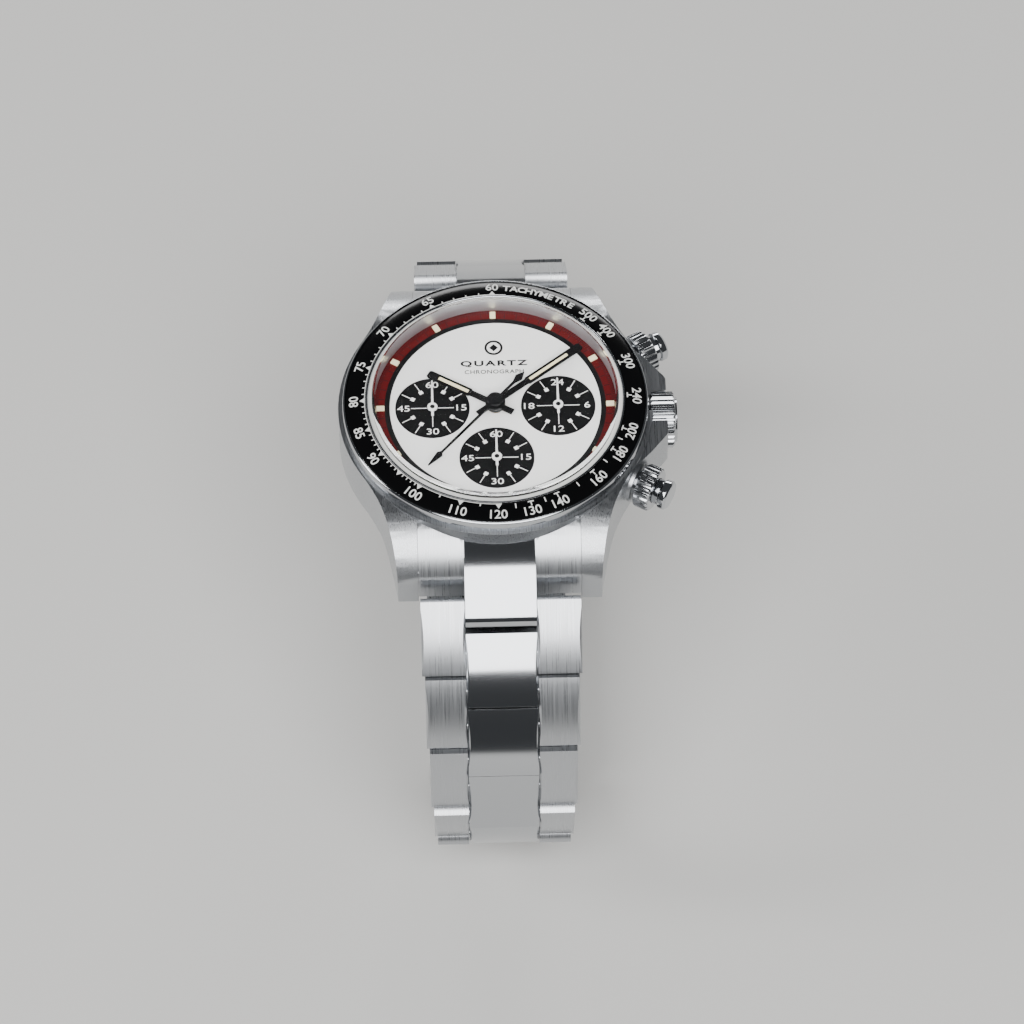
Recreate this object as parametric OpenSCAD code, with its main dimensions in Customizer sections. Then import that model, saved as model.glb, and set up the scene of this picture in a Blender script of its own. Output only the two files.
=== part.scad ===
// Chronograph wristwatch on a three-row steel bracelet, standing on its folding clasp.
// Millimetres. +Z is the way the dial faces, +X the crown side, -Y the 6 o'clock side.
// Z = 0 is the flat underside of the clasp, below the middle of the dial.

/* [Case] */
// Width of the case over its flanks
case_w = 39; // [38.4:0.2:42]
// Length over the lug tips
lug_to_lug = 45.2; // [44:0.2:52]
// Height of the case middle
case_h = 6.6; // [6:0.1:9]
// Width between the lugs
lug_gap = 20; // [18:0.5:21]
// How far the lug tops fall to their tips
lug_drop = 5.7; // [5:0.1:7]
// How far the crown guards reach from the middle
guard_reach = 21.3; // [20.8:0.1:22.5]

/* [Bezel and crystal] */
// Outer diameter of the bezel ring
bezel_d = 38.1; // [37:0.1:40]
// Outer diameter of the printed insert
insert_od = 37.2; // [36:0.1:38]
// Inner diameter of the printed insert
insert_id = 32.2; // [31:0.1:33]
// Height of the bezel over the case
bezel_h = 1.9; // [1.8:0.1:4]
// Thickness of the crystal
crystal_t = 1.2; // [0.9:0.1:2.4]

/* [Dial and hands] */
// Radius of the dial that shows
dial_r = 15.3; // [14.5:0.1:15.4]
// Distance of each subdial from the middle
sub_off = 7.8; // [7:0.1:8.4]
// Radius of a subdial
sub_r = 4.65; // [4:0.05:5]
// Radius of the ring of hour markers
marker_r = 14.25; // [13.5:0.05:14.5]
// Length of the hour hand
hour_len = 9.6; // [8:0.1:11]
// Length of the minute hand
minute_len = 13.8; // [12:0.1:15]
// Length of the chronograph hand
chrono_len = 12.9; // [11:0.1:15]
// Clockwise angle of the hour hand as the watch is set
hour_at = 301; // [0:1:359]
// Clockwise angle of the minute hand
minute_at = 52; // [0:1:359]
// Clockwise angle of the chronograph hand
chrono_at = 221; // [0:1:359]

/* [Crown and pushers] */
// Crown diameter
crown_d = 7; // [5.5:0.1:8]
// Crown length
crown_len = 3.1; // [2.6:0.1:5]
// How far the crown pulls out
crown_pull = 1.6; // [0.8:0.1:2]
// Angle of each pusher from the crown
pusher_at = 29; // [26:0.5:34]
// Diameter of the knurled pusher collar
collar_d = 5.6; // [5:0.1:6.4]
// Diameter of the pusher button
button_d = 3.8; // [3.6:0.1:5]
// How far a pusher travels
pusher_travel = 0.8; // [0.4:0.1:0.9]

/* [Bracelet] */
// Distance between link pivots
link_pitch = 9.3; // [8.6:0.1:10.4]
// Thickness of a link
link_t = 2.9; // [2.4:0.1:3.4]
// Width of the centre links
centre_w = 8.7; // [7:0.1:10]
// Width of the bracelet at the clasp
clasp_end_w = 16; // [15:0.1:18]

/* [Clasp] */
// Width of the clasp cover
cover_w = 18.4; // [17.8:0.1:20]
// Wall thickness of the clasp cover
cover_wall = 1.2; // [1.1:0.1:1.5]
// Thickness of the folding blades
blade_t = 0.9; // [0.7:0.1:1.2]

/* [Hidden] */

$fn = 64;
tiny = 0.01;
gap = 0.15;            // clearance between neighbouring moving pieces
run = 0.05;            // radial clearance of a running fit
fit = 0.02;            // clearance round a fixed pin

// Bracelet: direction of each link below the horizontal, from the lugs to the clasp
bends = [44, 59, 78, 106, 140, 168];
links = len(bends);
hinge_out = lug_to_lug / 2 + 3.5;       // first pivot, from the middle of the watch
hinge_up = -1.1;                        // first pivot over the underside of the case middle
eye_z = 3.7;                            // pivots at the clasp, over the table
pin_r = 0.6;
eye_r = 2.2;                            // round end of a link about its pivot
dome_r = 27;                            // gentle curve along a link's outer face
half_pitch = link_pitch / 2;

function along(n) = n < 1 ? 0 : along(n - 1) + link_pitch * cos(bends[n - 1]);
function fallen(n) = n < 1 ? 0 : fallen(n - 1) + link_pitch * sin(bends[n - 1]);
function link_w(n) = lug_gap - 0.4 - (lug_gap - 0.4 - clasp_end_w) * (n - 1) / (links - 1);

case_z = eye_z + fallen(links) - hinge_up;      // underside of the case middle
eye_y = hinge_out + along(links);               // pivots at the clasp, from the middle

// Case, heights over its underside
bore_r = dial_r + 0.45;
cavity_r = bore_r - 1.45;
dial_z = case_h - 1;
dial_t = 0.4;
dial_top = dial_z + dial_t;
glass_z = dial_top + 1.9;
bezel_top = case_h + bezel_h;
barrel_r = case_w / 2;
back_r = 17.4;
flange_r = 16.1;
flange_t = 0.85;
back_drop = 2.1;
lug_in = lug_gap / 2;
lug_tip_w = 12.5;                       // half width over the lug tips
lug_flat = 13.5;                        // where the lug tops start to fall
lug_low = -3.2;                         // underside of the lug tips
flare = 5.7;                            // angle of the lug flanks at their tips
lug_run = lug_to_lug / 2 - lug_flat;
lug_arc = (pow(lug_run, 2) + pow(lug_drop, 2)) / (2 * lug_drop);
lug_tip = lug_to_lug / 2;
// Hollow flanks of the lugs: arcs that leave the round case and end at the lug tips
flank_r = (pow(lug_tip_w, 2) + pow(lug_tip, 2) - pow(barrel_r, 2))
    / (2 * (barrel_r - lug_tip_w * cos(flare) - lug_tip * sin(flare)));
flank_x = lug_tip_w + flank_r * cos(flare);
flank_y = lug_tip + flank_r * sin(flare);

crown_z = 3;
crown_x = barrel_r - 0.3;
crown_r = crown_d / 2;
tube_r = 1.6;
stem_r = 0.45;
collar_r = collar_d / 2;
button_r = button_d / 2;
p_tube_r = 1.7;
p_collar_in = barrel_r + 0.8;           // pusher pieces, distances from the middle
p_collar_out = p_collar_in + 2.1;
p_tube_out = p_collar_in + 0.4;
p_neck_in = p_collar_in + 1.3;
p_cap_in = p_collar_out + pusher_travel;
p_cap_out = p_cap_in + 1.1;
p_neck_r = 1.6;
p_stem_r = 0.7;
p_spring_in = barrel_r - 0.8;

// Movement, heights over the underside of the case middle
plate_z = 3.6;
plate_t = 0.8;
plate_r = cavity_r - 0.75;
holder_in = cavity_r - 0.7;
chrono_r = 0.3;
cannon_r = 0.6;
hour_tube_r = 0.9;
hour_z = dial_top + 0.45;
minute_z = dial_top + 0.85;
chrono_z = dial_top + 1.25;
hand_t = 0.2;
hour_w = 1.15;
minute_w = 1.1;
sub_z = dial_top + 0.12;
subs = [[-sub_off, 0], [sub_off, 0], [0, -sub_off]];
arbor_r = 0.25;
battery_r = 3.95;
battery_x = -7.2;
battery_y = 5;
screws = [[-11.2, -4], [10.6, 5.4], [3, 11.6], [2.6, -11.4]];
rotor_x = 4.6;
rotor_y = -5.6;
rotor_r = 1.1;
coil_y = -9;

// Spring bars through the lugs
bar_y = lug_to_lug / 2 - 2.4;
bar_z = -0.1;
bar_r = 0.75;

// Clasp, heights over the table
eye_open = pin_r + 0.25;
cover_half = eye_y + 1.6;
cover_h = 4.4;
fold_y = eye_y - 6.6;                   // hinge of the two blades
cover_hinge_y = -(eye_y - 4);           // hinge of the cover and the short blade
knuckle = 1;
low_z = cover_wall + gap + knuckle;     // axis of the cover hinge
fold_z = low_z + knuckle;
short_w = 9;
long_w = 6.6;
catch_w = 8;
catch_len = 7.5;
catch_t = 0.45;
catch_barrel = 0.42;
catch_pin = 0.2;
catch_y = -cover_half + catch_len;
catch_rise = 0.04;                      // catch over the table
catch_z = catch_barrel + catch_rise;

steel = "silver";
polished = "gainsboro";
black = [0.05, 0.05, 0.06];

// ---- helpers ----

module up_case() translate([0, 0, case_z]) children();

module along_x(y, z) translate([0, y, z]) rotate([90, 0, 90]) children();

// A bar along X, middle at x
module bar_x(r, x, len) translate([x - len / 2, 0, 0]) rotate([0, 90, 0]) cylinder(r = r, h = len);

// Things standing out from the case at an angle from the crown, X outward
module outward(angle) rotate([0, 0, angle]) translate([0, 0, crown_z]) children();

// Round piece along X from a to b
module turned(r, a, b) translate([a, 0, 0]) rotate([0, 90, 0]) cylinder(r = r, h = b - a);

// Knurled round with a bevel at each end, along X from a to b
module knurled(r, a, b, teeth, deep, bevel) {
    shape = [for (i = [0:teeth * 4 - 1])
        let (t = i * 90 / teeth, at = i % 4 < 2 ? r : r - deep) [at * cos(t), at * sin(t)]];
    intersection() {
        translate([a, 0, 0]) rotate([90, 0, 90]) linear_extrude(b - a) polygon(shape);
        rotate([90, 0, 90]) rotate_extrude()
            polygon([[0, a], [r - bevel, a], [r + tiny, a + bevel], [r + tiny, b - bevel],
                [r - bevel, b], [0, b]]);
    }
}

// Flat ring
module ring(outer, inner, z, h) translate([0, 0, z]) difference() {
    cylinder(r = outer, h = h);
    translate([0, 0, -1]) cylinder(r = inner, h = h + 2);
}

// ---- case ----

// Side view of a lug and of the outer pieces of an end link
module lug_side(low) {
    steps = 10;
    turn = asin(lug_run / lug_arc);
    top = [for (i = [0:steps]) let (t = turn * i / steps)
        [lug_flat + lug_arc * sin(t), case_h - lug_arc + lug_arc * cos(t)]];
    polygon(concat([[0, 0], [0, case_h]], top, [[lug_tip, low + 0.4], [lug_tip - 0.4, low],
        [lug_tip - 2.8, low], [15, 0]]));
}

// Outline of the case and lugs from above
module outline() {
    meet = barrel_r * flank_x / (barrel_r + flank_r);
    circle(r = barrel_r, $fn = 128);
    difference() {
        square([2 * meet, 2 * lug_tip], center = true);
        for (x = [-flank_x, flank_x], y = [-flank_y, flank_y])
            translate([x, y]) circle(r = flank_r, $fn = 128);
    }
}

module lugs() intersection() {
    translate([0, 0, lug_low - 1]) linear_extrude(case_h - lug_low + 1) outline();
    for (way = [0, 1]) mirror([0, way, 0]) for (side = [0, 1]) mirror([side, 0, 0])
        translate([lug_in, 0, 0]) rotate([90, 0, 90]) linear_extrude(barrel_r - lug_in)
            lug_side(lug_low);
}

module guards() {
    g = guard_reach;
    pocket = crown_r + 0.3;
    edge = [[g - 4.2, 9.3], [g - 2.1, 7], [g - 1.1, 5.7], [g - 0.3, 4.7], [g, 4.2], [g, pocket]];
    translate([0, 0, 0.6]) linear_extrude(case_h - 1.2)
        polygon(concat(edge, [for (i = [len(edge) - 1:-1:0]) [edge[i][0], -edge[i][1]]]));
}

module case_middle() color(steel) up_case() difference() {
    union() {
        cylinder(r = barrel_r, h = case_h, $fn = 128);
        lugs();
        guards();
        for (a = [-pusher_at, pusher_at]) outward(a)
            turned(p_tube_r + 0.9, 17.5, p_collar_in - 0.4);
    }
    translate([0, 0, -1]) cylinder(r = cavity_r, h = case_h + 2);
    translate([0, 0, dial_z]) cylinder(r = bore_r, h = case_h);
    translate([0, 0, -3]) cylinder(r = flange_r + 0.1, h = 3 + flange_t + 0.1);
    outward(0) turned(tube_r, 10, 21);
    for (a = [-pusher_at, pusher_at]) outward(a) turned(p_tube_r, 10, 21);
    outward(0) turned(crown_r + 0.3, crown_x - 0.3, 26);
    for (side = [-1, 1]) translate([0, side * bar_y, bar_z]) bar_x(bar_r, 0, lug_gap + 2.4);
}

module bezel_ring() color(polished) up_case() rotate_extrude($fn = 128) {
    r = bezel_d / 2;
    o = insert_od / 2 + 0.02;
    i = insert_id / 2 - 0.02;
    polygon([[bore_r, case_h], [r - 0.5, case_h], [r, case_h + 0.5],
        [r, bezel_top - 1.3], [r - 0.15, bezel_top - 0.65], [o + 0.08, bezel_top - 0.5],
        [o, bezel_top - 0.55], [o, bezel_top - 1.2], [i, bezel_top - 1.2], [i, bezel_top - 0.05],
        [i - 0.08, bezel_top], [bore_r + 0.1, bezel_top - 0.05], [bore_r, bezel_top - 0.15]]);
}

module bezel_insert() color(black) up_case() rotate_extrude($fn = 128)
    polygon([[insert_id / 2, bezel_top - 1.2], [insert_od / 2, bezel_top - 1.2],
        [insert_od / 2, bezel_top - 0.62], [insert_id / 2, bezel_top - 0.15]]);

module crystal() color([0.8, 0.9, 1, 0.3]) up_case() translate([0, 0, glass_z])
    rotate_extrude($fn = 128) polygon([[0, 0], [dial_r, 0], [dial_r, crystal_t - 0.35],
        [dial_r - 0.35, crystal_t], [0, crystal_t]]);

module crystal_gasket() color("white") up_case() ring(bore_r, dial_r, glass_z, bezel_top - 0.15 - glass_z,
    $fn = 128);

module rehaut_ring() color(polished) up_case() rotate_extrude($fn = 128)
    polygon([[dial_r - 0.2, dial_top], [bore_r, dial_top], [bore_r, glass_z], [dial_r, glass_z]]);

module caseback() color(steel) up_case() {
    difference() {
        rotate_extrude($fn = 128) polygon([[0, -back_drop], [back_r - 1.6, -back_drop],
            [back_r, -0.9], [back_r, 0], [flange_r, 0], [flange_r, flange_t], [14.2, flange_t],
            [14.2, -0.3], [0, -0.3]]);
        ring(15.7, 15, flange_t - 0.35, 1);
        for (a = [0:45:315]) rotate([0, 0, a]) translate([15, -0.9, -back_drop - 1])
            cube([1.6, 1.8, 1.5]);
    }
}

module caseback_gasket() color(black) up_case() ring(15.65, 15.05, flange_t - 0.35, 0.45);

// ---- crown ----

module crown_tube() color(steel) up_case() outward(0) difference() {
    turned(tube_r, cavity_r + 0.5, crown_x + 1);
    turned(stem_r + 0.15, 10, 25);
}

module crown() color(polished) up_case() outward(0) difference() {
    union() {
        knurled(crown_r, crown_x, crown_x + crown_len, 30, 0.22, 0.3);
        turned(crown_r - 0.7, crown_x + crown_len - 0.3, crown_x + crown_len + 0.25);
    }
    turned(tube_r + 0.7, crown_x - 1, crown_x + 1.9);
    turned(stem_r, crown_x, crown_x + 2.6);
}

module crown_gasket() color(black) up_case() outward(0) difference() {
    turned(tube_r + 0.65, crown_x + 0.2, crown_x + 0.9);
    turned(tube_r + run, crown_x, crown_x + 2);
}

module winding_stem() color(steel) up_case() outward(0) union() {
    turned(stem_r, 9, crown_x + 2.6);
    turned(stem_r + 0.1, 9.4, 10.6);
}

// ---- pushers ----

module pusher_tubes() color(polished) up_case() for (a = [-pusher_at, pusher_at])
    outward(a) difference() {
        turned(p_tube_r, cavity_r + 1, p_tube_out);
        turned(p_stem_r + run, 10, 25);
        turned(1.15, p_spring_in, 25);
    }

module collar(a) color(steel) up_case() outward(a) difference() {
    knurled(collar_r, p_collar_in, p_collar_out, 22, 0.2, 0.25);
    turned(p_tube_r + run, 20, p_tube_out + 0.1);
    turned(p_neck_r + run, 20, 26);
}

module button(a) color(polished) up_case() outward(a) {
    turned(p_stem_r, 15.2, p_neck_in + 0.1);
    turned(p_neck_r, p_neck_in, p_cap_in + 0.1);
    rotate([90, 0, 90]) rotate_extrude() polygon([[0, p_cap_in], [button_r - 0.2, p_cap_in],
        [button_r, p_cap_in + 0.2], [button_r, p_cap_out - 0.25], [button_r - 0.25, p_cap_out],
        [0, p_cap_out]]);
}

module pusher_collar_2() collar(pusher_at);
module pusher_collar_4() collar(-pusher_at);
module pusher_button_2() button(pusher_at);
module pusher_button_4() button(-pusher_at);

// Springs drawn at their pressed length, one ring for each coil
module pusher_springs() color("dimgray") up_case() for (a = [-pusher_at, pusher_at])
    outward(a) for (i = [0:4]) translate([p_spring_in + 0.15 + i * 0.42, 0, 0])
        rotate([0, 90, 0]) rotate_extrude() translate([0.94, 0]) circle(r = 0.12, $fn = 16);

// ---- dial ----

module dial() color("white") up_case() difference() {
    translate([0, 0, dial_z]) cylinder(r = bore_r, h = dial_t, $fn = 128);
    for (s = subs) translate([s[0], s[1], 0]) {
        translate([0, 0, dial_top - 0.15]) cylinder(r = sub_r, h = 1);
        cylinder(r = arbor_r + 0.1, h = case_h);
    }
    cylinder(r = hour_tube_r + 0.1, h = case_h);
}

module subdials() color(black) up_case() for (s = subs) translate([s[0], s[1], dial_top - 0.15])
    difference() {
        cylinder(r = sub_r, h = 0.12);
        translate([0, 0, -1]) cylinder(r = arbor_r + 0.1, h = 2);
    }

module hour_markers() color("wheat") up_case() for (h = [0:11]) if (h != 6)
    rotate([0, 0, -30 * h]) translate([-0.35, marker_r - 0.5, dial_top]) cube([0.7, 1, 0.25]);

// ---- hands: pointing along +Y, turned clockwise ----

module hand_at(angle, z) rotate([0, 0, -angle]) translate([0, 0, z]) children();

module hub(r, hole, low, high) translate([0, 0, low]) difference() {
    cylinder(r = r, h = high - low);
    translate([0, 0, -1]) cylinder(r = hole, h = high - low + 2);
}

module baton(len, tail, w, hole, z, angle) up_case() {
    hand_at(angle, z) difference() {
        linear_extrude(hand_t) polygon([[-w * 0.36, -tail], [w * 0.36, -tail],
            [w * 0.36, len * 0.36], [w / 2, len * 0.38], [w / 2, len - 0.3],
            [w * 0.36, len], [-w * 0.36, len], [-w / 2, len - 0.3], [-w / 2, len * 0.38],
            [-w * 0.36, len * 0.36]]);
        translate([0, 0, -1]) cylinder(r = hole, h = 3);
        translate([-w / 2 + 0.35, len * 0.4, hand_t - 0.08])
            cube([w - 0.7, len * 0.45, 1]);
    }
    hub(1.25, hole, z - 0.05, z + hand_t + 0.12);
}

module hour_hand() color(black) baton(hour_len, 2.5, hour_w, hour_tube_r, hour_z, hour_at);
module minute_hand() color(black) baton(minute_len, 2.8, minute_w, cannon_r, minute_z, minute_at);

module chrono_hand() color(black) up_case() {
    hand_at(chrono_at, chrono_z) linear_extrude(hand_t) {
        polygon([[-0.17, 0], [0.17, 0], [0.13, chrono_len - 2.6], [0.42, chrono_len - 2.2],
            [0.05, chrono_len], [-0.05, chrono_len], [-0.42, chrono_len - 2.2],
            [-0.13, chrono_len - 2.6]]);
        polygon([[-0.14, 0], [0.14, 0], [0.16, -3.6], [0.5, -4.6], [0.05, -5.6],
            [-0.05, -5.6], [-0.5, -4.6], [-0.16, -3.6]]);
    }
    translate([0, 0, chrono_z]) cylinder(r = 1, h = 0.45);
    translate([0, 0, 2.5]) cylinder(r = chrono_r, h = chrono_z - 2.5 + tiny);
}

module subhand(s) color("white") up_case() translate([s[0], s[1], 0]) {
    translate([0, 0, sub_z]) {
        linear_extrude(0.12) polygon([[-0.16, -1.3], [0.16, -1.3], [0.1, 4.1], [-0.1, 4.1]]);
        cylinder(r = 0.62, h = 0.22);
    }
    translate([0, 0, plate_z + 0.2]) cylinder(r = arbor_r, h = sub_z - plate_z - 0.2 + tiny);
    translate([0, 0, plate_z + plate_t + 0.15]) cylinder(r = 1.5, h = 0.2);
}

module subhand_9() subhand(subs[0]);
module subhand_3() subhand(subs[1]);
module subhand_6() subhand(subs[2]);

// ---- movement ----

module movement_holder() color("ivory") up_case() difference() {
    ring(cavity_r - 0.05, holder_in, 1.1, dial_z - 1.1);
    outward(0) turned(tube_r + 0.1, 10, 20);
    for (a = [-pusher_at, pusher_at]) outward(a) turned(p_tube_r + 0.1, 10, 20);
}

module main_plate() color("silver") up_case() difference() {
    translate([0, 0, plate_z]) cylinder(r = plate_r, h = plate_t);
    translate([0, 0, plate_z - 1]) cylinder(r = cannon_r + 0.3, h = 3);
    for (s = subs) translate([s[0], s[1], plate_z + 0.1]) cylinder(r = arbor_r + run, h = 3);
    translate([rotor_x, rotor_y, plate_z - 1]) cylinder(r = 0.25 + run, h = 3);
}

module train_bridge() color("gold") up_case() difference() {
    translate([-3, -6.6, 1.7]) cube([12.4, 11, 0.5]);
    translate([0, 0, 1]) cylinder(r = chrono_r + 0.2, h = 2);
    translate([rotor_x, rotor_y, 1]) cylinder(r = 0.25 + run, h = 2);
    outward(0) turned(1, 8, 14);
}

module circuit_board() color("darkgreen") up_case() difference() {
    translate([0, 0, 1.2]) cylinder(r = plate_r - 0.6, h = 0.3);
    translate([battery_x, battery_y, 0]) cylinder(r = battery_r + 0.3, h = 3);
    translate([-9, coil_y - 3.4, 0]) cube([10.4, 6, 3]);
    for (s = screws) translate([s[0], s[1], 0]) cylinder(r = 0.5, h = 3);
    translate([-1, 8.6, 0]) cube([7.2, 3.2, 3]);
}

module battery() color("silver") up_case() translate([battery_x, battery_y, 1.2]) {
    cylinder(r = battery_r, h = 1.4);
    translate([0, 0, 1.4]) cylinder(r = battery_r - 0.5, h = 0.7);
}

module battery_clamp() color("goldenrod") up_case()
    translate([battery_x - 2.6, battery_y - 1, 0.9]) cube([6, 2, 0.3]);

module drive_coil() color("orangered") up_case() translate([-3.8, coil_y, 2.5]) difference() {
    bar_x(0.95, 0, 6.4);
    bar_x(0.36, 0, 8);
}

module stator() color("dimgray") up_case() difference() {
    union() {
        translate([-3.8, coil_y, 2.5]) bar_x(0.36, 0, 7.6);
        translate([-0.5, coil_y - 0.7, 2.3]) cube([7.1, 6.2, 0.4]);
        translate([-8.4, coil_y - 0.7, 2.3]) cube([1.1, 1.4, 0.4]);
    }
    translate([rotor_x, rotor_y, 1]) cylinder(r = rotor_r + 0.15, h = 3);
}

module rotor() color("darkslategray") up_case() translate([rotor_x, rotor_y, 0]) {
    translate([0, 0, 2.3]) cylinder(r = rotor_r, h = 0.6);
    translate([0, 0, 1.75]) cylinder(r = 0.25, h = plate_z + 0.5 - 1.75);
}

module minute_wheel() color("gold") up_case() difference() {
    union() {
        translate([0, 0, 2.9]) difference() {
            cylinder(r = 3.2, h = 0.3);
            for (a = [0:90:270]) rotate([0, 0, a]) translate([1.9, 0, -1]) cylinder(r = 0.7, h = 2);
        }
        translate([0, 0, 2.9]) cylinder(r = cannon_r, h = minute_z + hand_t + 0.12 - 2.9);
    }
    translate([0, 0, 1]) cylinder(r = chrono_r + run, h = 10);
}

module hour_wheel() color("gold") up_case() difference() {
    union() {
        translate([0, 0, plate_z + plate_t + 0.35]) cylinder(r = 2.8, h = 0.25);
        translate([0, 0, plate_z + plate_t + 0.35])
            cylinder(r = hour_tube_r, h = hour_z + hand_t + 0.12 - plate_z - plate_t - 0.35);
    }
    translate([0, 0, 1]) cylinder(r = cannon_r + run, h = 10);
}

module quartz_can() color("silver") up_case() translate([-0.6, 10.2, 2.5]) difference() {
    turned(0.9, 0, 6);
    turned(0.6, 0.3, 5.7);
}

module movement_screws() color("steelblue") up_case() for (s = screws)
    translate([s[0], s[1], 0]) difference() {
        union() {
            translate([0, 0, 0.95]) cylinder(r = 0.8, h = 0.25);
            translate([0, 0, 1.2]) cylinder(r = 0.4, h = plate_z - 1.2);
        }
        translate([-1, -0.12, 0.5]) cube([2, 0.24, 0.6]);
    }

// ---- bracelet ----

// Side view of the centre piece of an end link, from its first pivot
module end_centre_side() polygon([[-8, 6.2], [-7, 6], [-4.8, 5.35], [-2.6, 4.35],
    [-0.6, 2.8], [1.12, 1.34], [0, 0], [0, -1.7], [-8, -1.1]]);

module end_link() up_case() difference() {
    union() {
        // outer pieces, down to the lug tips
        translate([-lug_in + 0.04, 0, 0]) rotate([90, 0, 90]) linear_extrude(lug_gap - 0.08)
            lug_side(lug_low + 1);
        // centre piece: reaches further, and carries the first pivot
        translate([-centre_w / 2, hinge_out, hinge_up]) rotate([90, 0, 90])
            linear_extrude(centre_w) end_centre_side();
        translate([0, hinge_out, hinge_up]) bar_x(1.75, 0, centre_w);
    }
    // seat against the case, bezel and caseback
    translate([0, 0, -9]) cylinder(r = barrel_r + 0.03, h = 30, $fn = 128);
    translate([0, bar_y, bar_z]) bar_x(bar_r, 0, lug_gap + 1);
    translate([0, hinge_out, hinge_up]) {
        bar_x(pin_r + run, 0, lug_gap);
        for (side = [-1, 1]) bar_x(eye_r + gap, side * (lug_gap + centre_w + 0.2) / 4,
            (lug_gap - centre_w - 0.2) / 2 + 0.001);
    }
}

module end_link_6() color(steel) mirror([0, 1, 0]) end_link();
module end_link_12() color(steel) end_link();

module spring_bars() color(steel) up_case() for (side = [-1, 1])
    translate([0, side * bar_y, bar_z]) bar_x(bar_r, 0, lug_gap + 2.4);

// Side view of an outer piece: round at its own pivot, hollowed for the next one
module plate_side(from, to, cut) {
    h = link_t / 2;
    b = 0.3;
    start = sqrt(pow(eye_r, 2) - pow(h, 2));
    difference() {
        union() {
            intersection() {
                translate([from, 0]) circle(r = eye_r);
                translate([from - eye_r, -h]) square([eye_r + 1, 2 * h]);
            }
            polygon([[from, -h], [to - b, -h], [to, -h + b], [to, h - b], [to - b, h],
                [from, h]]);
        }
        if (cut > 0) translate([cut, 0]) circle(r = eye_r + gap);
        // what lies above the curve of the outer face
        difference() {
            translate([from - eye_r - 1, 0]) square([to + 8, h + 1]);
            translate([(from + to - start) / 2, h - dome_r]) circle(r = dome_r, $fn = 128);
        }
    }
}

// Bar of width w along X with its long top edges bevelled, to cut a link's outline from
module bevelled(w, x) {
    h = link_t / 2;
    b = 0.28;
    translate([x, 30, 0]) rotate([90, 0, 0]) linear_extrude(60) polygon([[-w / 2, -h],
        [w / 2, -h], [w / 2, h - b], [w / 2 - b, h], [-w / 2 + b, h], [-w / 2, h - b]]);
}

// A link in its own frame: pivot at the origin, Y on to the next pivot, Z outward
module link(n, last_len) {
    w = link_w(n);
    side_w = (w - centre_w) / 2 - 0.08;
    for (side = [-1, 1]) difference() {
        intersection() {
            translate([-w, 0, 0]) rotate([90, 0, 90]) linear_extrude(2 * w)
                plate_side(0, link_pitch - 1.9, link_pitch);
            bevelled(side_w, side * (w - side_w) / 2);
        }
        bar_x(pin_r, 0, w - 1.2);
        translate([0, half_pitch, 0]) bar_x(pin_r, 0, w - 1.2);
    }
    difference() {
        intersection() {
            translate([-w, 0, 0]) rotate([90, 0, 90]) linear_extrude(2 * w) difference() {
                mirror([1, 0]) translate([-link_pitch, 0])
                    plate_side(0, link_pitch - 1.9, link_pitch);
            }
            bevelled(centre_w, 0);
        }
        translate([0, link_pitch, 0]) bar_x(pin_r + run, 0, 30);
        translate([0, half_pitch, 0]) bar_x(pin_r, 0, 30);
    }
    // pivot pin and fixed pin
    bar_x(pin_r - fit, 0, w - 1.4);
    translate([0, half_pitch, 0]) bar_x(pin_r - fit, 0, w - 1.4);
}

// Place a link of one half: way 1 is the 12 o'clock half, -1 the 6 o'clock half
module placed(n) translate([0, hinge_out + along(n - 1), case_z + hinge_up - fallen(n - 1)])
    rotate([-bends[n - 1], 0, 0]) children();

module link_12(n) color(steel) placed(n) link(n);
module link_6(n) color(steel) mirror([0, 1, 0]) placed(n) link(n);

module link_12_1() link_12(1);
module link_12_2() link_12(2);
module link_12_3() link_12(3);
module link_12_4() link_12(4);
module link_12_5() link_12(5);
module link_6_1() link_6(1);
module link_6_2() link_6(2);
module link_6_3() link_6(3);
module link_6_4() link_6(4);
module link_6_5() link_6(5);
module link_6_6() link_6(6);

// The last link of the 12 o'clock half stops at the cover's bar with an open end
module link_12_6() color(steel) difference() {
    placed(6) link(6);
    translate([-20, eye_y - 10, eye_z - 8]) cube([40, 10 + eye_open, 20]);
}

// ---- clasp ----

module clasp_blade_long() color(steel) difference() {
    union() {
        translate([-long_w / 2, -eye_y + 2.6, fold_z + 0.1])
            cube([long_w, eye_y - 2.6 + fold_y, blade_t]);
        translate([0, fold_y, fold_z]) bar_x(knuckle, 0, long_w / 2);
        // eyes on each side of the last link
        for (side = [-1, 1]) translate([side * (centre_w / 2 + 0.9), 0, 0]) {
            translate([0, -eye_y, eye_z]) bar_x(1.2, 0, 1.4);
            translate([-0.7, -eye_y, eye_z - 1.15]) cube([1.4, 3, blade_t + 0.2]);
        }
        translate([-centre_w / 2 - 1.6, -eye_y + 2.6, fold_z + 0.1])
            cube([centre_w + 3.2, 1.2, blade_t]);
        translate([0, -eye_y, eye_z]) bar_x(pin_r, 0, centre_w + 3.2);
    }
    for (side = [-1, 1]) translate([0, fold_y, fold_z])
        bar_x(knuckle + gap, side * long_w / 2 * 0.75 + side * 0.1, long_w / 4 + 0.2);
    translate([0, fold_y, fold_z]) bar_x(pin_r, 0, long_w + 2);
}

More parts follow.
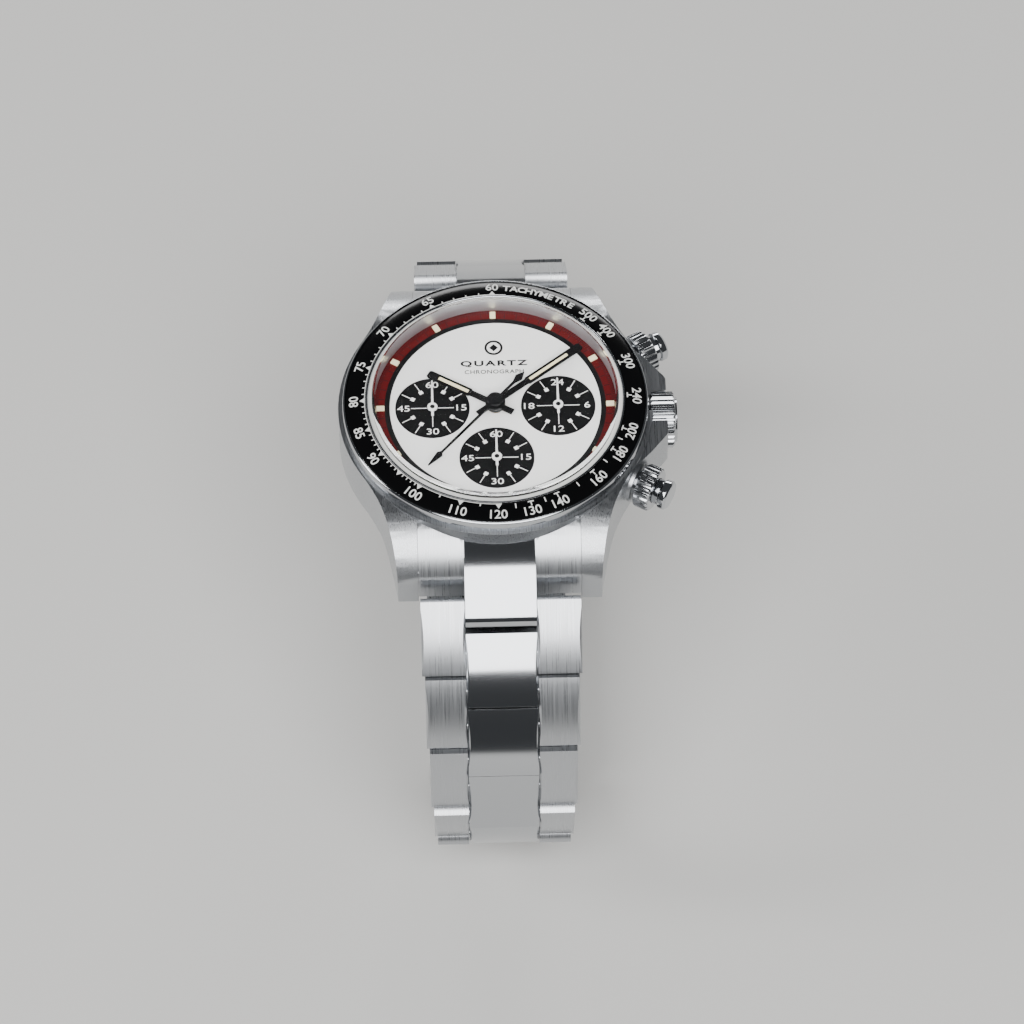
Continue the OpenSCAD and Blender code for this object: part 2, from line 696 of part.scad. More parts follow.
module clasp_blade_short() color(polished) {
    difference() {
        union() {
            translate([-short_w / 2, cover_hinge_y, low_z - 0.1 - blade_t + 0.35])
                cube([short_w, fold_y - cover_hinge_y, blade_t]);
            translate([0, cover_hinge_y, low_z]) bar_x(knuckle, 0, short_w);
            for (side = [-1, 1]) translate([0, fold_y, fold_z])
                bar_x(knuckle, side * (long_w / 4 + 0.1 + 1.4), 2.6);
        }
        translate([0, cover_hinge_y, low_z]) bar_x(pin_r + run, 0, 30);
        translate([0, fold_y, fold_z]) bar_x(knuckle + gap, 0, long_w / 2 + 0.2);
    }
    translate([0, fold_y, fold_z]) bar_x(pin_r - run, 0, long_w / 2 + 2);
}

module clasp_cover() color(steel) difference() {
    union() {
        difference() {
            translate([-cover_w / 2, 0, 0]) rotate([90, 0, 90]) linear_extrude(cover_w)
                polygon([[-cover_half, 0.8], [-cover_half + 3, 0], [cover_half - 3, 0],
                    [cover_half, 0.8], [cover_half, cover_h - 1], [cover_half - 1, cover_h],
                    [-cover_half + 3, cover_h], [-cover_half, 2.6]]);
            translate([-cover_w / 2 + cover_wall, -30, cover_wall])
                cube([cover_w - 2 * cover_wall, 60, cover_h * 2]);
            // open under the last link, so that it can swing out
            translate([-clasp_end_w / 2 - 0.3, eye_y - 1.4, -5]) cube([clasp_end_w + 0.6, 20, 20]);
        }
        translate([0, eye_y, eye_z]) bar_x(pin_r, 0, cover_w - 0.6);
        translate([0, cover_hinge_y, low_z]) bar_x(pin_r, 0, cover_w - 0.6);
    }
    // recess for the safety catch, with a groove for its hinge
    translate([-catch_w / 2 - gap, -cover_half - 1, -1])
        cube([catch_w + 2 * gap, catch_len + 1, 1 + catch_t + 0.1]);
    // the groove opens downwards, so that the catch can hang open
    translate([-catch_w / 2 - gap, catch_y, -1])
        cube([catch_w + 2 * gap, catch_barrel + 0.1, 1 + catch_z]);
    translate([0, catch_y, catch_z]) {
        bar_x(catch_barrel + 0.1, 0, catch_w + 2 * gap);
        bar_x(catch_pin + run, 0, catch_w + 1.8);
    }
}

module clasp_catch() color(polished) {
    translate([-catch_w / 2, -cover_half - 0.3, catch_rise])
        cube([catch_w, catch_len + 0.3, catch_t]);
    // lip for a fingernail
    translate([-catch_w / 2, -cover_half - 0.3, catch_rise]) cube([catch_w, 0.25, 1.1]);
    translate([0, catch_y, catch_z]) {
        bar_x(catch_barrel, 0, catch_w);
        bar_x(catch_pin, 0, catch_w + 1.6);
    }
}

// ---- every node ----

case_middle();
bezel_ring();
bezel_insert();
crystal();
crystal_gasket();
rehaut_ring();
dial();
subdials();
hour_markers();
caseback();
caseback_gasket();
crown_tube();
crown();
crown_gasket();
winding_stem();
pusher_tubes();
pusher_collar_2();
pusher_collar_4();
pusher_button_2();
pusher_button_4();
pusher_springs();
hour_hand();
minute_hand();
chrono_hand();
subhand_9();
subhand_3();
subhand_6();
movement_holder();
main_plate();
train_bridge();
circuit_board();
battery();
battery_clamp();
drive_coil();
stator();
rotor();
minute_wheel();
hour_wheel();
quartz_can();
movement_screws();
end_link_12();
end_link_6();
spring_bars();
link_12_1();
link_12_2();
link_12_3();
link_12_4();
link_12_5();
link_12_6();
link_6_1();
link_6_2();
link_6_3();
link_6_4();
link_6_5();
link_6_6();
clasp_blade_long();
clasp_blade_short();
clasp_cover();
clasp_catch();
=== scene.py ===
import math

import bpy
import numpy as np
from mathutils import Matrix, Vector


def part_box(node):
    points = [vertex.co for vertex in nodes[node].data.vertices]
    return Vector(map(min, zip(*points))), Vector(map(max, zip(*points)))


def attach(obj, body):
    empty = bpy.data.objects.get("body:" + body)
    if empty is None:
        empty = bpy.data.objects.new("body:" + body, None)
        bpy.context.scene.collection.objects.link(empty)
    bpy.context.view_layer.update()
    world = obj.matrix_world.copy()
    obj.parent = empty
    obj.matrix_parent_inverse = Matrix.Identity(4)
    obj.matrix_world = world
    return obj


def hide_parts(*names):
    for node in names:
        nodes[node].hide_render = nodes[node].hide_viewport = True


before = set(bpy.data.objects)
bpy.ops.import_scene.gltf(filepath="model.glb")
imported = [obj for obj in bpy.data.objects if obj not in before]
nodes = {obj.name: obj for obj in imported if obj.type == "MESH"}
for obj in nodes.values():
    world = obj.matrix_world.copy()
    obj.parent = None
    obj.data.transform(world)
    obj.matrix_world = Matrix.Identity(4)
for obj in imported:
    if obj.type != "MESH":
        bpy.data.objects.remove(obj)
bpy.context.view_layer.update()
mm = 0.001


# ---- small tools ----

def linearColour(code):
    # sRGB hex to linear
    c = np.array([int(code[i:i + 2], 16) for i in (1, 3, 5)]) / 255
    return (*np.where(c <= 0.04045, c / 12.92, ((c + 0.055) / 1.055) ** 2.4), 1.0)


def addNode(tree, kind, settings=None, links=None, **attributes):
    # one shader node: its attributes, its socket values, and what feeds its sockets
    node = tree.nodes.new(kind)
    for key, value in attributes.items():
        setattr(node, key, value)
    for key, value in (settings or {}).items():
        node.inputs[key].default_value = value
    for key, source in (links or {}).items():
        tree.links.new(source, node.inputs[key])
    return node


def newMaterial(name, colour, rough, metallic=0.0, **sockets):
    m = bpy.data.materials.new(name)
    m.use_nodes = True
    tree = m.node_tree
    tree.nodes.clear()
    shader = addNode(tree, "ShaderNodeBsdfPrincipled", {
        "Base Color": linearColour(colour), "Roughness": rough, "Metallic": metallic})
    for key, value in sockets.items():
        shader.inputs[key.replace("_", " ")].default_value = value
    addNode(tree, "ShaderNodeOutputMaterial", links={"Surface": shader.outputs[0]})
    return m, tree, shader


def meshObject(name, points, faces, material=None, smooth=True):
    mesh = bpy.data.meshes.new(name)
    mesh.from_pydata(points.tolist(), [], faces)
    mesh.validate()
    if smooth:
        mesh.shade_smooth()
    ob = bpy.data.objects.new(name, mesh)
    bpy.context.scene.collection.objects.link(ob)
    if material:
        mesh.materials.append(material)
    return ob


def gridFaces(rows, cols, closeRows=False, closeCols=False):
    # quads between neighbouring points of a rows by cols grid
    r = np.arange(rows if closeRows else rows - 1)
    c = np.arange(cols if closeCols else cols - 1)
    r, c = [a.ravel() for a in np.meshgrid(r, c, indexing="ij")]
    r2, c2 = (r + 1) % rows, (c + 1) % cols
    return np.stack([r * cols + c, r * cols + c2, r2 * cols + c2, r2 * cols + c], 1)


def lathe(name, profile, centre, material, steps=192, smooth=True):
    # a closed outline of (radius, height) points, run clockwise as seen with radius to the
    # right, turned about a vertical axis: x = r cos t, y = r sin t, z = height
    profile = np.array(profile) * mm
    t = np.linspace(0, 2 * math.pi, steps, endpoint=False)
    r, h = profile[:, 0], profile[:, 1]
    pts = np.stack([np.outer(r, np.cos(t)), np.outer(r, np.sin(t)), np.outer(h, t * 0 + 1)], 2)
    pts = pts.reshape(-1, 3) + np.array(centre)
    return meshObject(name, pts, gridFaces(len(r), steps, True, True).tolist(), material, smooth)


def disc(name, radius, low, high, bevel, centre, material, ripple=0.0, pitch=0.25, steps=128):
    # a thin plate: the top is a grid of rings whose height waves by ripple every pitch
    r = np.linspace(radius - bevel, 0.02, max(2, int((radius - bevel) / pitch * 6)) if ripple else 3)
    top = high + ripple * (np.cos(2 * math.pi * r / pitch) - 1) / 2
    outer = [(radius, low), (radius, high - bevel)]
    rings = np.array([(0.02, low)] + outer + list(zip(r, top))) * mm
    t = np.linspace(0, 2 * math.pi, steps, endpoint=False)
    pts = np.stack([np.outer(rings[:, 0], np.cos(t)), np.outer(rings[:, 0], np.sin(t)),
                    np.outer(rings[:, 1], t * 0 + 1)], 2).reshape(-1, 3) + np.array(centre)
    faces = gridFaces(len(rings), steps, False, True).tolist()
    last = (len(rings) - 1) * steps
    faces += [list(range(last, last + steps)), list(range(steps))[::-1]]
    return meshObject(name, pts, faces, material)


def prism(outline, low, high):
    # (points, faces) of a flat outline, counter-clockwise in mm, raised from low to high
    o = np.array(outline) * mm
    n = len(o)
    z = np.repeat([low * mm, high * mm], n)[:, None]
    k = np.arange(n)
    sides = np.stack([k, (k + 1) % n, (k + 1) % n + n, k + n], 1).tolist()
    return np.hstack([np.tile(o, (2, 1)), z]), sides + [list(range(n, 2 * n)), list(range(n))[::-1]]


def joined(parts):
    # several (points, faces) as one
    points, faces, start = [], [], 0
    for p, f in parts:
        points.append(p)
        faces += [[i + start for i in face] for face in f]
        start += len(p)
    return np.vstack(points), faces


def turned(part, clockwise, centre=(0, 0)):
    # turned clockwise about a vertical axis through the origin, then moved to centre (mm)
    points, faces = part
    a = -math.radians(clockwise)
    c, s = math.cos(a), math.sin(a)
    x, y = points[:, 0] * c - points[:, 1] * s, points[:, 0] * s + points[:, 1] * c
    return np.stack([x + centre[0] * mm, y + centre[1] * mm, points[:, 2]], 1), faces


def bar(x0, y0, x1, y1, low, high):
    return prism([(x0, y0), (x1, y0), (x1, y1), (x0, y1)], low, high)


def letters(text, height, weight=0.0, spacing=1.0, widen=1.0):
    # flat text as (points, faces), middle at the origin, capitals height mm tall
    curve = bpy.data.curves.new("letters", "FONT")
    curve.body = text
    curve.align_x, curve.align_y = "CENTER", "CENTER"
    curve.size = 1.0
    curve.offset = weight
    curve.space_character = spacing
    curve.resolution_u = 4
    ob = bpy.data.objects.new("letters", curve)
    bpy.context.scene.collection.objects.link(ob)
    mesh = bpy.data.meshes.new_from_object(ob.evaluated_get(bpy.context.evaluated_depsgraph_get()))
    p = np.empty(len(mesh.vertices) * 3)
    mesh.vertices.foreach_get("co", p)
    p = p.reshape(-1, 3)
    faces = [list(f.vertices) for f in mesh.polygons]
    bpy.data.objects.remove(ob)
    bpy.data.meshes.remove(mesh)
    bpy.data.curves.remove(curve)
    low, high = p.min(0), p.max(0)
    p = (p - (low + high) / 2) * height / (high[1] - low[1])
    p[:, 0] *= widen
    return p * mm, faces


def raised(part, height):
    # a flat mesh given a little thickness: the same faces on top, turned over underneath, and
    # a side along every edge that only one face has
    points, faces = part
    n = len(points)
    ways = dict.fromkeys((a, b) for f in faces for a, b in zip(f, f[1:] + f[:1]))
    rim = [(a, b) for a, b in ways if (b, a) not in ways]
    top = points + np.array([0, 0, height * mm])
    sides = [[a, b, b + n, a + n] for a, b in rim]
    upper = [[i + n for i in f] for f in faces]
    return np.vstack([points, top]), upper + sides + [f[::-1] for f in faces]


# ---- measures, in mm, from the frame ----

def span(node):
    low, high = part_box(node)
    return np.array(low) / mm, np.array(high) / mm


dialTop = span("dial")[1][2]
insertLow, insertHigh = span("bezel_insert")
subHigh = span("subdials")[1]
subRadius = 4.65
subOffset = subHigh[0] - subRadius  # of the small dials' middles
insertOuter = insertHigh[0]
linkCentreHalf = 4.39
print("frame loaded, dial top at", round(dialTop, 2), "mm")


# ---- materials ----

def brushedSteel(name, colour, along, grit=0.09, rough=0.3, depth=0.16):
    # stainless steel rubbed one way with fine paper: soft streaks along the rubbing
    m, tree, shader = newMaterial(name, colour, rough, 1.0)
    where = addNode(tree, "ShaderNodeTexCoord")
    fine = 1 / (grit * mm)
    scale = [fine if a not in along else fine * 0.012 for a in "xyz"]
    stretch = addNode(tree, "ShaderNodeMapping", {"Scale": scale},
                      {"Vector": where.outputs["Object"]})
    grain = addNode(tree, "ShaderNodeTexNoise", {"Scale": 1.0, "Detail": 3.0, "Roughness": 0.6},
                    {"Vector": stretch.outputs[0]})
    spread = addNode(tree, "ShaderNodeMapRange", {
        "From Min": 0.3, "From Max": 0.7, "To Min": rough - 0.07, "To Max": rough + 0.09},
        {"Value": grain.outputs["Fac"]})
    bump = addNode(tree, "ShaderNodeBump", {"Strength": depth, "Distance": 0.02 * mm},
                   {"Height": grain.outputs["Fac"]})
    tree.links.new(spread.outputs[0], shader.inputs["Roughness"])
    tree.links.new(bump.outputs[0], shader.inputs["Normal"])
    return m


def braceletSteel():
    # the outer pieces are rubbed lengthwise and the centre pieces are buffed to a mirror,
    # so one metal changes finish at the joint between them
    m, tree, shader = newMaterial("braceletStainlessSteel", "#B8BABD", 0.3, 1.0)
    where = addNode(tree, "ShaderNodeTexCoord")
    fine = 1 / (0.1 * mm)
    stretch = addNode(tree, "ShaderNodeMapping", {"Scale": (fine, fine * 0.01, fine * 0.01)},
                      {"Vector": where.outputs["Object"]})
    grain = addNode(tree, "ShaderNodeTexNoise", {"Scale": 1.0, "Detail": 3.0, "Roughness": 0.6},
                    {"Vector": stretch.outputs[0]})
    split = addNode(tree, "ShaderNodeSeparateXYZ", links={"Vector": where.outputs["Object"]})
    side = addNode(tree, "ShaderNodeMath", links={0: split.outputs["X"]}, operation="ABSOLUTE")
    outer = addNode(tree, "ShaderNodeMath", {1: linkCentreHalf * mm}, {0: side.outputs[0]},
                    operation="GREATER_THAN")
    rubbed = addNode(tree, "ShaderNodeMapRange", {
        "From Min": 0.3, "From Max": 0.7, "To Min": 0.24, "To Max": 0.38},
        {"Value": grain.outputs["Fac"]})
    rough = addNode(tree, "ShaderNodeMapRange", {"To Min": 0.11}, {
        "Value": outer.outputs[0], "To Max": rubbed.outputs[0]})
    strength = addNode(tree, "ShaderNodeMath", {1: 0.16}, {0: outer.outputs[0]},
                       operation="MULTIPLY")
    bump = addNode(tree, "ShaderNodeBump", {"Distance": 0.02 * mm}, {
        "Height": grain.outputs["Fac"], "Strength": strength.outputs[0]})
    tree.links.new(rough.outputs[0], shader.inputs["Roughness"])
    tree.links.new(bump.outputs[0], shader.inputs["Normal"])
    return m


def sunrayDial():
    # silver paint over a brass plate ground in rays from the middle: a faint turning sheen
    m, tree, shader = newMaterial("silverSunrayPaint", "#E9E9E7", 0.34, 0.0)
    where = addNode(tree, "ShaderNodeTexCoord")
    split = addNode(tree, "ShaderNodeSeparateXYZ", links={"Vector": where.outputs["Object"]})
    angle = addNode(tree, "ShaderNodeMath", links={0: split.outputs["Y"], 1: split.outputs["X"]},
                    operation="ARCTAN2")
    rays = addNode(tree, "ShaderNodeTexNoise", {"Scale": 60.0, "Detail": 4.0}, {
        "W": angle.outputs[0]}, noise_dimensions="1D")
    bump = addNode(tree, "ShaderNodeBump", {"Strength": 0.1, "Distance": 0.01 * mm},
                   {"Height": rays.outputs["Fac"]})
    tree.links.new(bump.outputs[0], shader.inputs["Normal"])
    return m


caseBrushed = brushedSteel("brushedStainlessSteel", "#B2B4B7", "y")
coverBrushed = brushedSteel("brushedClaspSteel", "#C2C4C6", "y")
bracelet = braceletSteel()
# stainless steel buffed on a wheel: a clean mirror with a trace of haze
polished = newMaterial("mirrorPolishedSteel", "#BFC1C4", 0.07, 1.0)[0]
# steel cut with flutes: the same mirror, a little duller in the grooves
fluted = newMaterial("flutedPolishedSteel", "#B9BBBE", 0.14, 1.0)[0]
# lathe-turned inner flange: satin silver that catches light as a soft band
flange = newMaterial("satinSilverFlange", "#C4C6C9", 0.36, 0.85)[0]
# black enamel baked on the scale ring: deep gloss
enamel = newMaterial("glossBlackEnamel", "#070708", 0.16, Specular_IOR_Level=0.35)[0]
# white scale paint filled in the ring: flat and bright
scalePaint = newMaterial("whiteScalePaint", "#F1F1EE", 0.45)[0]
# printed dial inks: flat, a little sheen
redInk = newMaterial("deepRedDialInk", "#4A0507", 0.5, Specular_IOR_Level=0.15)[0]
blackInk = newMaterial("blackDialInk", "#060607", 0.45, Specular_IOR_Level=0.2)[0]
whiteInk = newMaterial("whiteDialInk", "#F3F3F0", 0.45)[0]
sunray = sunrayDial()
# ringed black sub-dials: matt lacquer over fine turned grooves
subBlack = newMaterial("grainedBlackLacquer", "#050506", 0.38, Specular_IOR_Level=0.2)[0]
# phosphor paint: chalky cream
lumePaint = newMaterial("creamLuminousPaint", "#E9DDB4", 0.6)[0]
# blackened brass hands: dark satin with a slight metal glint
handBlack = newMaterial("blackenedBrass", "#111112", 0.25, 0.35)[0]
handWhite = newMaterial("whiteLacqueredBrass", "#E8E8E6", 0.35)[0]
# mineral crystal: clear, with sharp edges that catch the light, and coated against
# reflections, so its flat face all but disappears
crystalGlass = newMaterial("mineralCrystal", "#FFFFFF", 0.0, 0.0, Transmission_Weight=1.0,
                           IOR=1.47, Specular_IOR_Level=0.12)[0]
sealRubber = newMaterial("blackSealRubber", "#141414", 0.7)[0]
sealNylon = newMaterial("whiteNylonGasket", "#D8D8D4", 0.5)[0]
gilt = newMaterial("giltBrass", "#C9A353", 0.25, 1.0)[0]
nickel = newMaterial("nickelPlatedBrass", "#B9B7B2", 0.3, 1.0)[0]
mouldedPlastic = newMaterial("ivoryMouldedPlastic", "#DAD3BD", 0.5)[0]
boardGreen = newMaterial("greenFibreBoard", "#1F5A34", 0.45)[0]
copperWire = newMaterial("enamelledCopperWire", "#A5512B", 0.35, 0.8)[0]

looks = {
    "case_middle": caseBrushed, "end_link_12": bracelet, "end_link_6": bracelet,
    "clasp_cover": coverBrushed, "spring_bars": polished, "pusher_springs": polished,
    "movement_screws": polished, "bezel_ring": polished, "rehaut_ring": flange,
    "caseback": polished, "crown_tube": polished, "crown": fluted, "winding_stem": polished,
    "pusher_tubes": polished, "pusher_collar_2": fluted, "pusher_collar_4": fluted,
    "pusher_button_2": polished, "pusher_button_4": polished, "clasp_blade_long": polished,
    "clasp_blade_short": polished, "clasp_catch": polished, "quartz_can": polished,
    "bezel_insert": enamel, "crystal": crystalGlass, "crystal_gasket": sealNylon,
    "dial": sunray, "subdials": subBlack, "hour_markers": lumePaint,
    "caseback_gasket": sealRubber, "crown_gasket": sealRubber, "hour_hand": handBlack,
    "minute_hand": handBlack, "chrono_hand": handBlack, "subhand_9": handWhite,
    "subhand_3": handWhite, "subhand_6": handWhite, "movement_holder": mouldedPlastic,
    "main_plate": nickel, "train_bridge": gilt, "circuit_board": boardGreen,
    "battery": polished, "battery_clamp": gilt, "drive_coil": copperWire, "stator": nickel,
    "rotor": nickel, "minute_wheel": gilt, "hour_wheel": gilt,
}
for name, ob in nodes.items():
    material = looks.get(name, bracelet)
    ob.data.materials.clear()
    ob.data.materials.append(material)

# edge rounding of the steel pieces, in mm
edges = {"case_middle": 0.18, "bezel_ring": 0.08, "clasp_cover": 0.15, "clasp_catch": 0.08,
         "clasp_blade_long": 0.06, "clasp_blade_short": 0.06, "caseback": 0.12,
         "end_link_12": 0.12, "end_link_6": 0.12, "hour_markers": 0.05, "hour_hand": 0.03,
         "minute_hand": 0.03, "chrono_hand": 0.02, "subhand_9": 0.02, "subhand_3": 0.02,
         "subhand_6": 0.02, "crown": 0.04, "pusher_collar_2": 0.04, "pusher_collar_4": 0.04,
         "crystal": 0.05, "pusher_button_2": 0.1, "pusher_button_4": 0.1}
edges.update({name: 0.12 for name in nodes if name.startswith("link_")})
for name, width in edges.items():
    ob = nodes[name]
    weld = ob.modifiers.new("weld", "WELD")
    weld.merge_threshold = 0.0005 * mm
    bevel = ob.modifiers.new("soft edges", "BEVEL")
    bevel.width = width * mm
    bevel.segments = 2
    bevel.limit_method = "ANGLE"
    bevel.angle_limit = math.radians(32)
    even = ob.modifiers.new("even shading", "WEIGHTED_NORMAL")
    even.mode = "FACE_AREA_WITH_ANGLE"
    even.weight = 60
nodes["crystal"].visible_shadow = False
print("materials and edges set")


# ---- bezel insert and its scale ----

insertShape = {"rise": 0.47, "edge": 0.12, "floor": insertLow[2], "inkUp": 0.02, "inkThick": 0.02}
insertInner = 16.1
insertSpan = insertOuter - insertInner


def insertHeight(r):
    # a shallow cone, falling outwards
    return insertHigh[2] - insertShape["rise"] * (r - insertInner) / insertSpan


def buildInsert():
    e = insertShape["edge"]
    top, low = insertHigh[2], insertHeight(insertOuter)
    profile = [(insertInner, insertShape["floor"]), (insertInner, top - e),
               (insertInner + e * 0.3, top - e * 0.3), (insertInner + e, insertHeight(insertInner + e)),
               (insertOuter - e, insertHeight(insertOuter - e)),
               (insertOuter - e * 0.3, low - e * 0.2), (insertOuter, low - e),
               (insertOuter, insertShape["floor"])]
    ob = lathe("bezelScaleRing", profile, (0, 0, 0), enamel)
    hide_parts("bezel_insert")
    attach(ob, "case")


def onInsert(part, clockwise, radius, inward=False):
    # wraps flat art round the ring: across becomes angle, up becomes distance from the middle
    points, faces = part
    sign = -1 if inward else 1
    r = radius * mm + sign * points[:, 1]
    a = math.radians(clockwise) + sign * points[:, 0] / (radius * mm)
    z = insertHeight(r / mm) * mm + insertShape["inkUp"] * mm
    return np.stack([r * np.sin(a), r * np.cos(a), z], 1), faces


def flatBar(w, h, x=0.0, y=0.0):
    p = np.array([(x - w / 2, y - h / 2, 0), (x + w / 2, y - h / 2, 0), (x + w / 2, y + h / 2, 0),
                  (x - w / 2, y + h / 2, 0)]) * mm
    return p, [[0, 1, 2, 3]]


scale = {"numbers": [60, 65, 70, 75, 80, 85, 90, 100, 110, 120, 130, 140, 160, 180, 200, 240,
                     300, 400, 500],
         "readInward": (85, 200), "digit": 1.15, "digitRadius": 17.55, "markRadius": 16.55,
         "word": "TACHYMETRE", "wordFrom": 6.0, "wordTo": 34.5, "letter": 0.95, "wordRadius": 17.4,
         "rimFrom": 180, "rimTo": 366,
         "triangles": [60, 65, 70, 75, 80, 85, 90, 95, 100, 110, 120],
         "tees": [130, 140, 160, 180, 200, 240, 300, 400, 500],
         "halves": [125, 135, 150, 170, 190], "quarters": [105, 115], "unitsTo": 100}


def speedAngle(n):
    return 21600 / n % 360


def buildScale():
    art = []
    for n in scale["numbers"]:
        inward = scale["readInward"][0] <= n <= scale["readInward"][1]
        text = letters(str(n), scale["digit"], 0.008, 0.98, 1.05)
        art.append(onInsert(text, speedAngle(n), scale["digitRadius"], inward))
    mark = scale["markRadius"]
    for n in scale["triangles"]:  # points out to its number
        p = np.array([(-0.42, -0.4, 0), (0.42, -0.4, 0), (0, 0.26, 0)]) * mm
        art.append(onInsert((p, [[0, 1, 2]]), speedAngle(n), mark))
    for n in scale["tees"]:  # a T whose bar lies towards the middle
        art.append(onInsert(flatBar(0.75, 0.14, 0, -0.2), speedAngle(n), mark))
        art.append(onInsert(flatBar(0.14, 0.55, 0, 0.08), speedAngle(n), mark))
    for n in scale["halves"]:
        art.append(onInsert(flatBar(0.14, 0.62, 0, 0.05), speedAngle(n), mark))
    for n in scale["quarters"]:
        art.append(onInsert(flatBar(0.14, 0.4, 0, -0.2), speedAngle(n), mark))
    for n in range(61, scale["unitsTo"]):
        if n % 5:
            art.append(onInsert(flatBar(0.12, 0.4, 0, -0.2), speedAngle(n), mark))
    # thin circle that the marks hang from, on the part of the scale that counts in ones
    t = np.radians(np.arange(scale["rimFrom"], scale["rimTo"] + 1))
    for a, b in zip(t, t[1:]):
        p = np.array([(insertInner + r, k) for k in (0, 1) for r in (0.05, 0.12)])
        z = insertHeight(p[:, 0]) + insertShape["inkUp"]
        w = a + (b - a) * p[:, 1]
        q = np.stack([p[:, 0] * np.sin(w), p[:, 0] * np.cos(w), z], 1) * mm
        art.append((q, [[0, 2, 3, 1]]))
    step = (scale["wordTo"] - scale["wordFrom"]) / (len(scale["word"]) - 1)
    for i, letter in enumerate(scale["word"]):
        text = letters(letter, scale["letter"], 0.02, 1.0, 1.15)
        art.append(onInsert(text, scale["wordFrom"] + i * step, scale["wordRadius"]))
    points, faces = joined([raised(a, insertShape["inkThick"]) for a in art])
    ob = meshObject("bezelScaleNumerals", points, faces, scalePaint, smooth=False)
    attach(ob, "case")


buildInsert()
buildScale()
print("bezel scale built")


# ---- dial printing ----

track = {"edge": 15.3, "redOut": 15.12, "redIn": 13.75, "blackIn": 13.1, "ticks": 300,
         "shortTick": 0.6, "longTick": 1.25, "halfTick": 0.045}


def flatRing(inner, outer, low, high):
    return [(inner, low), (inner, high), (outer, high), (outer, low)]


def buildTrack():
    z = dialTop
    black = lathe("minuteTrackBlackRing", flatRing(track["blackIn"], track["edge"], z, z + 0.015),
                  (0, 0, 0), blackInk, smooth=False)
    red = lathe("minuteTrackRedRing", flatRing(track["redIn"], track["redOut"], z, z + 0.03),
                (0, 0, 0), redInk, smooth=False)
    lines = []
    half = track["halfTick"]
    for i in range(track["ticks"]):
        long = track["longTick"] if i % 5 == 0 else track["shortTick"]
        if i % 25:  # none where the hour markers stand
            lines.append(turned(bar(-half, track["redOut"] - long, half, track["redOut"],
                                    z + 0.03, z + 0.04), i * 360 / track["ticks"]))
    for i in range(12):  # a short line outside each hour marker
        lines.append(turned(bar(-0.05, track["redOut"] - 0.2, 0.05, track["redOut"], z + 0.03,
                                z + 0.04), i * 30))
    ticks = meshObject("minuteTrackLines", *joined(lines), blackInk, smooth=False)
    for ob in (black, red, ticks):
        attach(ob, "case")


subdialArt = {
    (-1, 0): ["60", "15", "30", "45"],
    (1, 0): ["24", "6", "12", "18"],
    (0, -1): ["60", "15", "30", "45"],
}


def buildSubdials():
    plates, art = [], []
    top = dialTop - 0.02
    for (sx, sy), numerals in subdialArt.items():
        cx, cy = sx * subOffset, sy * subOffset
        plates.append(disc("subdialPlate_" + {-1: "9", 1: "3", 0: "6"}[sx], subRadius - 0.03,
                           dialTop - 0.14, top, 0.04, (cx * mm, cy * mm, 0), subBlack, 0.012, 0.24))
        up = top + 0.006
        for k, text in enumerate(numerals):
            p, f = raised(letters(text, 0.9, 0.0, 1.0, 1.3), 0.012)
            p = p + np.array([0, 0, up * mm])
            a = math.radians(k * 90)
            p = p + np.array([math.sin(a), math.cos(a), 0]) * (subRadius - 1.05) * mm
            art.append(turned((p, f), 0, (cx, cy)))
        for k in range(4):  # cross
            reach = subRadius - (1.75 if k % 2 == 0 else 2.0)
            art.append(turned(bar(-0.045, 0.7, 0.045, reach, up, up + 0.012), k * 90, (cx, cy)))
        for k in range(12):
            if k % 3:
                line = bar(-0.045, subRadius - 1.7, 0.045, subRadius - 0.3, up, up + 0.012)
                dot = bar(-0.25, subRadius - 2.1, 0.25, subRadius - 1.6, up, up + 0.012)
                art += [turned(line, k * 30, (cx, cy)), turned(dot, k * 30, (cx, cy))]
    # dark pin in the middle of each small hand
    for name, (sx, sy) in {"subhand_9": (-1, 0), "subhand_3": (1, 0), "subhand_6": (0, -1)}.items():
        high = span(name)[1][2]
        pin = disc(name + "Pin", 0.3, high - 0.05, high + 0.02, 0.01,
                   (sx * subOffset * mm, sy * subOffset * mm, 0), blackInk)
        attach(pin, name)
    for ob in plates:
        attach(ob, "case")
    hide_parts("subdials")
    ob = meshObject("subdialNumerals", *joined(art), whiteInk, smooth=False)
    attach(ob, "case")


def buildDialText():
    art = []
    z = dialTop + 0.005

    def word(text, height, y, weight, spacing, widen):
        p, f = raised(letters(text, height, weight, spacing, widen), 0.015)
        art.append((p + np.array([0, y * mm, z * mm]), f))

    word("QUARTZ", 1.0, 6.7, 0.035, 1.25, 1.6)
    word("CHRONOGRAPH", 0.6, 5.45, 0.012, 1.1, 1.1)
    # plain emblem: a ring round a lozenge
    t = np.linspace(0, 2 * math.pi, 48, endpoint=False)
    ringPoints = np.concatenate([np.stack([r * np.cos(t), r * np.sin(t) + 9.2, t * 0], 1)
                                 for r in (1.15, 0.85)]) * mm
    k = np.arange(48)
    quads = np.stack([k, (k + 1) % 48, (k + 1) % 48 + 48, k + 48], 1).tolist()
    p, f = raised((ringPoints, quads), 0.015)
    art.append((p + np.array([0, 0, z * mm]), f))
    art.append(prism([(0, 8.65), (0.55, 9.2), (0, 9.75), (-0.55, 9.2)], z, z + 0.015))
    ob = meshObject("dialWords", *joined(art), blackInk, smooth=False)
    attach(ob, "case")


buildTrack()
buildSubdials()
buildDialText()
print("dial printed")


# ---- luminous fill of the hands ----

handLume = {
    "hour_hand": {"len": 9.6, "w": 1.15, "angle": 301},
    "minute_hand": {"len": 13.8, "w": 1.1, "angle": 52},
}


handRim = 0.36  # metal left on each side of the slot


